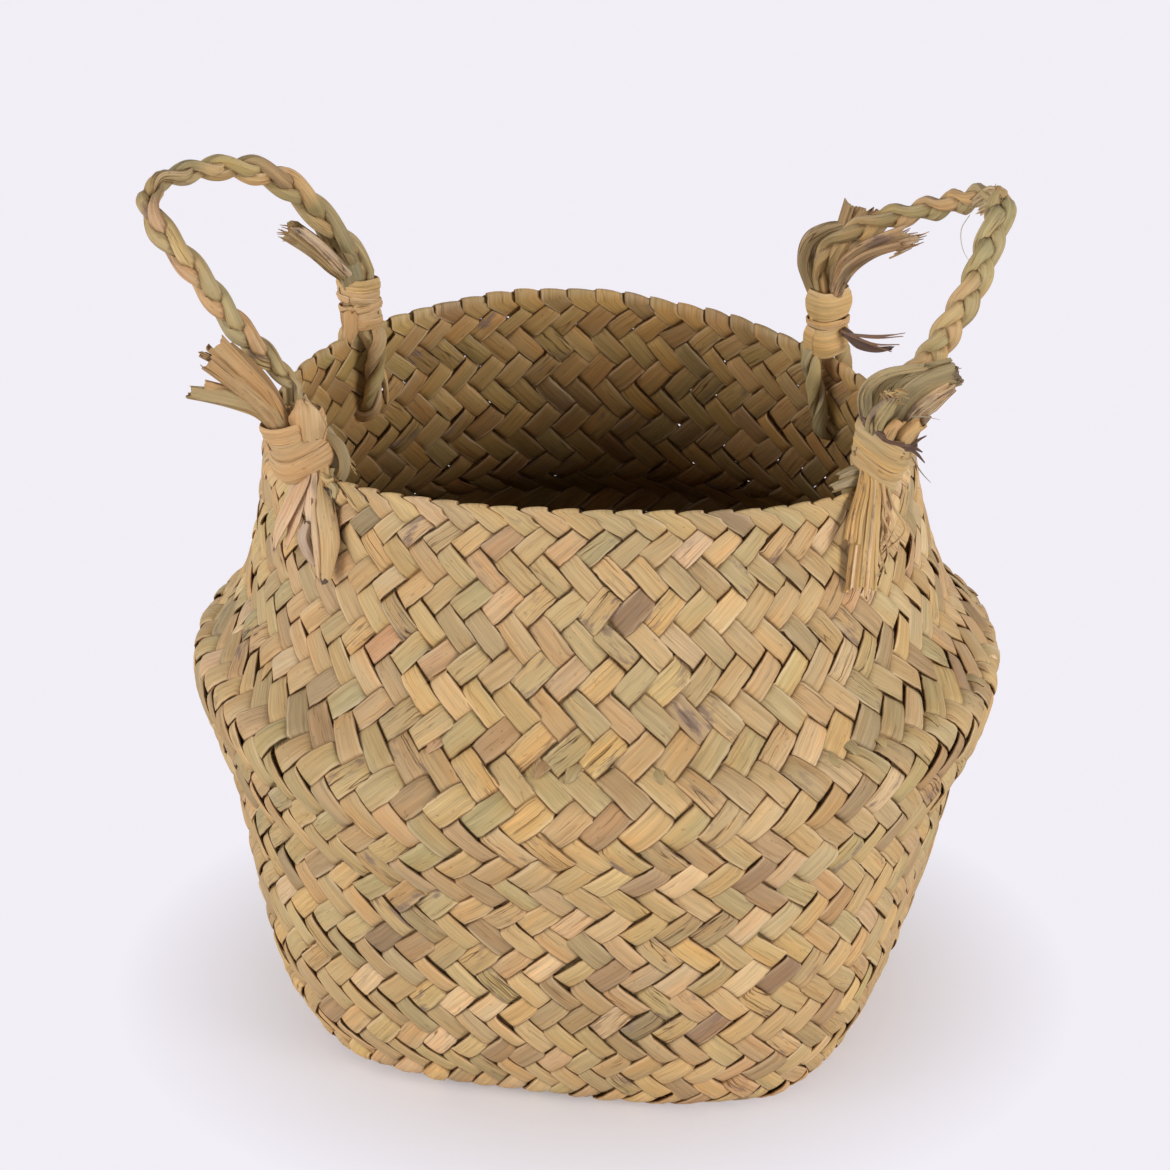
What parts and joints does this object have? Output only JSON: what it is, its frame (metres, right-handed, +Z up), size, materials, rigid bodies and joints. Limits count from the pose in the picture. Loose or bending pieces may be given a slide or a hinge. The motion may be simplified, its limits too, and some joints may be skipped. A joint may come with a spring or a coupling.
{
  "type": "belly basket",
  "caption": "Soft belly basket plaited diagonally from seagrass strips, bulging at the belly and drawn in to an open mouth, with two rope handles tied on over the rim.",
  "frame": {"origin": "middle of the floor's underside, on the surface that the basket stands on", "axes": "+Z up out of the mouth, +X to the right handle, +Y to the back, away from the viewer of the picture"},
  "size_m": [0.2284, 0.22, 0.2447],
  "materials": {
    "seagrass_weave": "dry seagrass strips in straw, olive and brown, matt with a faint sheen along the grain",
    "seagrass_rope": "plaited seagrass rope, greenish straw, fibrous and matt",
    "tie_strip": "pale leaf strip wound tight, smooth with a faint sheen"
  },
  "bodies": {
    "basket": {"floor_mat": "seagrass_weave", "lower_wall": "seagrass_weave", "upper_wall": "seagrass_weave", "rim_border": "seagrass_weave", "left_front_anchor_loop": "seagrass_rope", "left_back_anchor_loop": "seagrass_rope", "right_front_anchor_loop": "seagrass_rope", "right_back_anchor_loop": "seagrass_rope", "left_front_tie": "tie_strip", "left_back_tie": "tie_strip", "right_front_tie": "tie_strip", "right_back_tie": "tie_strip", "left_front_upper_tail": "seagrass_rope", "left_front_lower_tail": "seagrass_rope", "left_back_tail": "seagrass_rope", "right_front_tail": "seagrass_rope", "right_back_upper_tail": "seagrass_rope", "right_back_lower_tail": "seagrass_rope", "left_front_strip_end": "tie_strip", "left_back_strip_end": "tie_strip", "right_front_strip_end": "tie_strip", "right_back_strip_end": "tie_strip"},
    "left_handle": {"left_handle_strand_a": "seagrass_rope", "left_handle_strand_b": "seagrass_rope", "left_handle_strand_c": "seagrass_rope"},
    "right_handle": {"right_handle_strand_a": "seagrass_rope", "right_handle_strand_b": "seagrass_rope", "right_handle_strand_c": "seagrass_rope"}
  },
  "joints": [
    {"name": "left_handle_swing", "type": "hinge", "parent": "basket", "child": "left_handle", "pos_m": [-0.07062, 0.0055, 0.19359], "axis": [0.1354, 0.9901, -0.0379], "range_deg": [-5, 90]},
    {"name": "right_handle_swing", "type": "hinge", "parent": "basket", "child": "right_handle", "pos_m": [0.06809, 0.00275, 0.19048], "axis": [0.1149, -0.9933, -0.011], "range_deg": [-20, 90]}
  ]
}
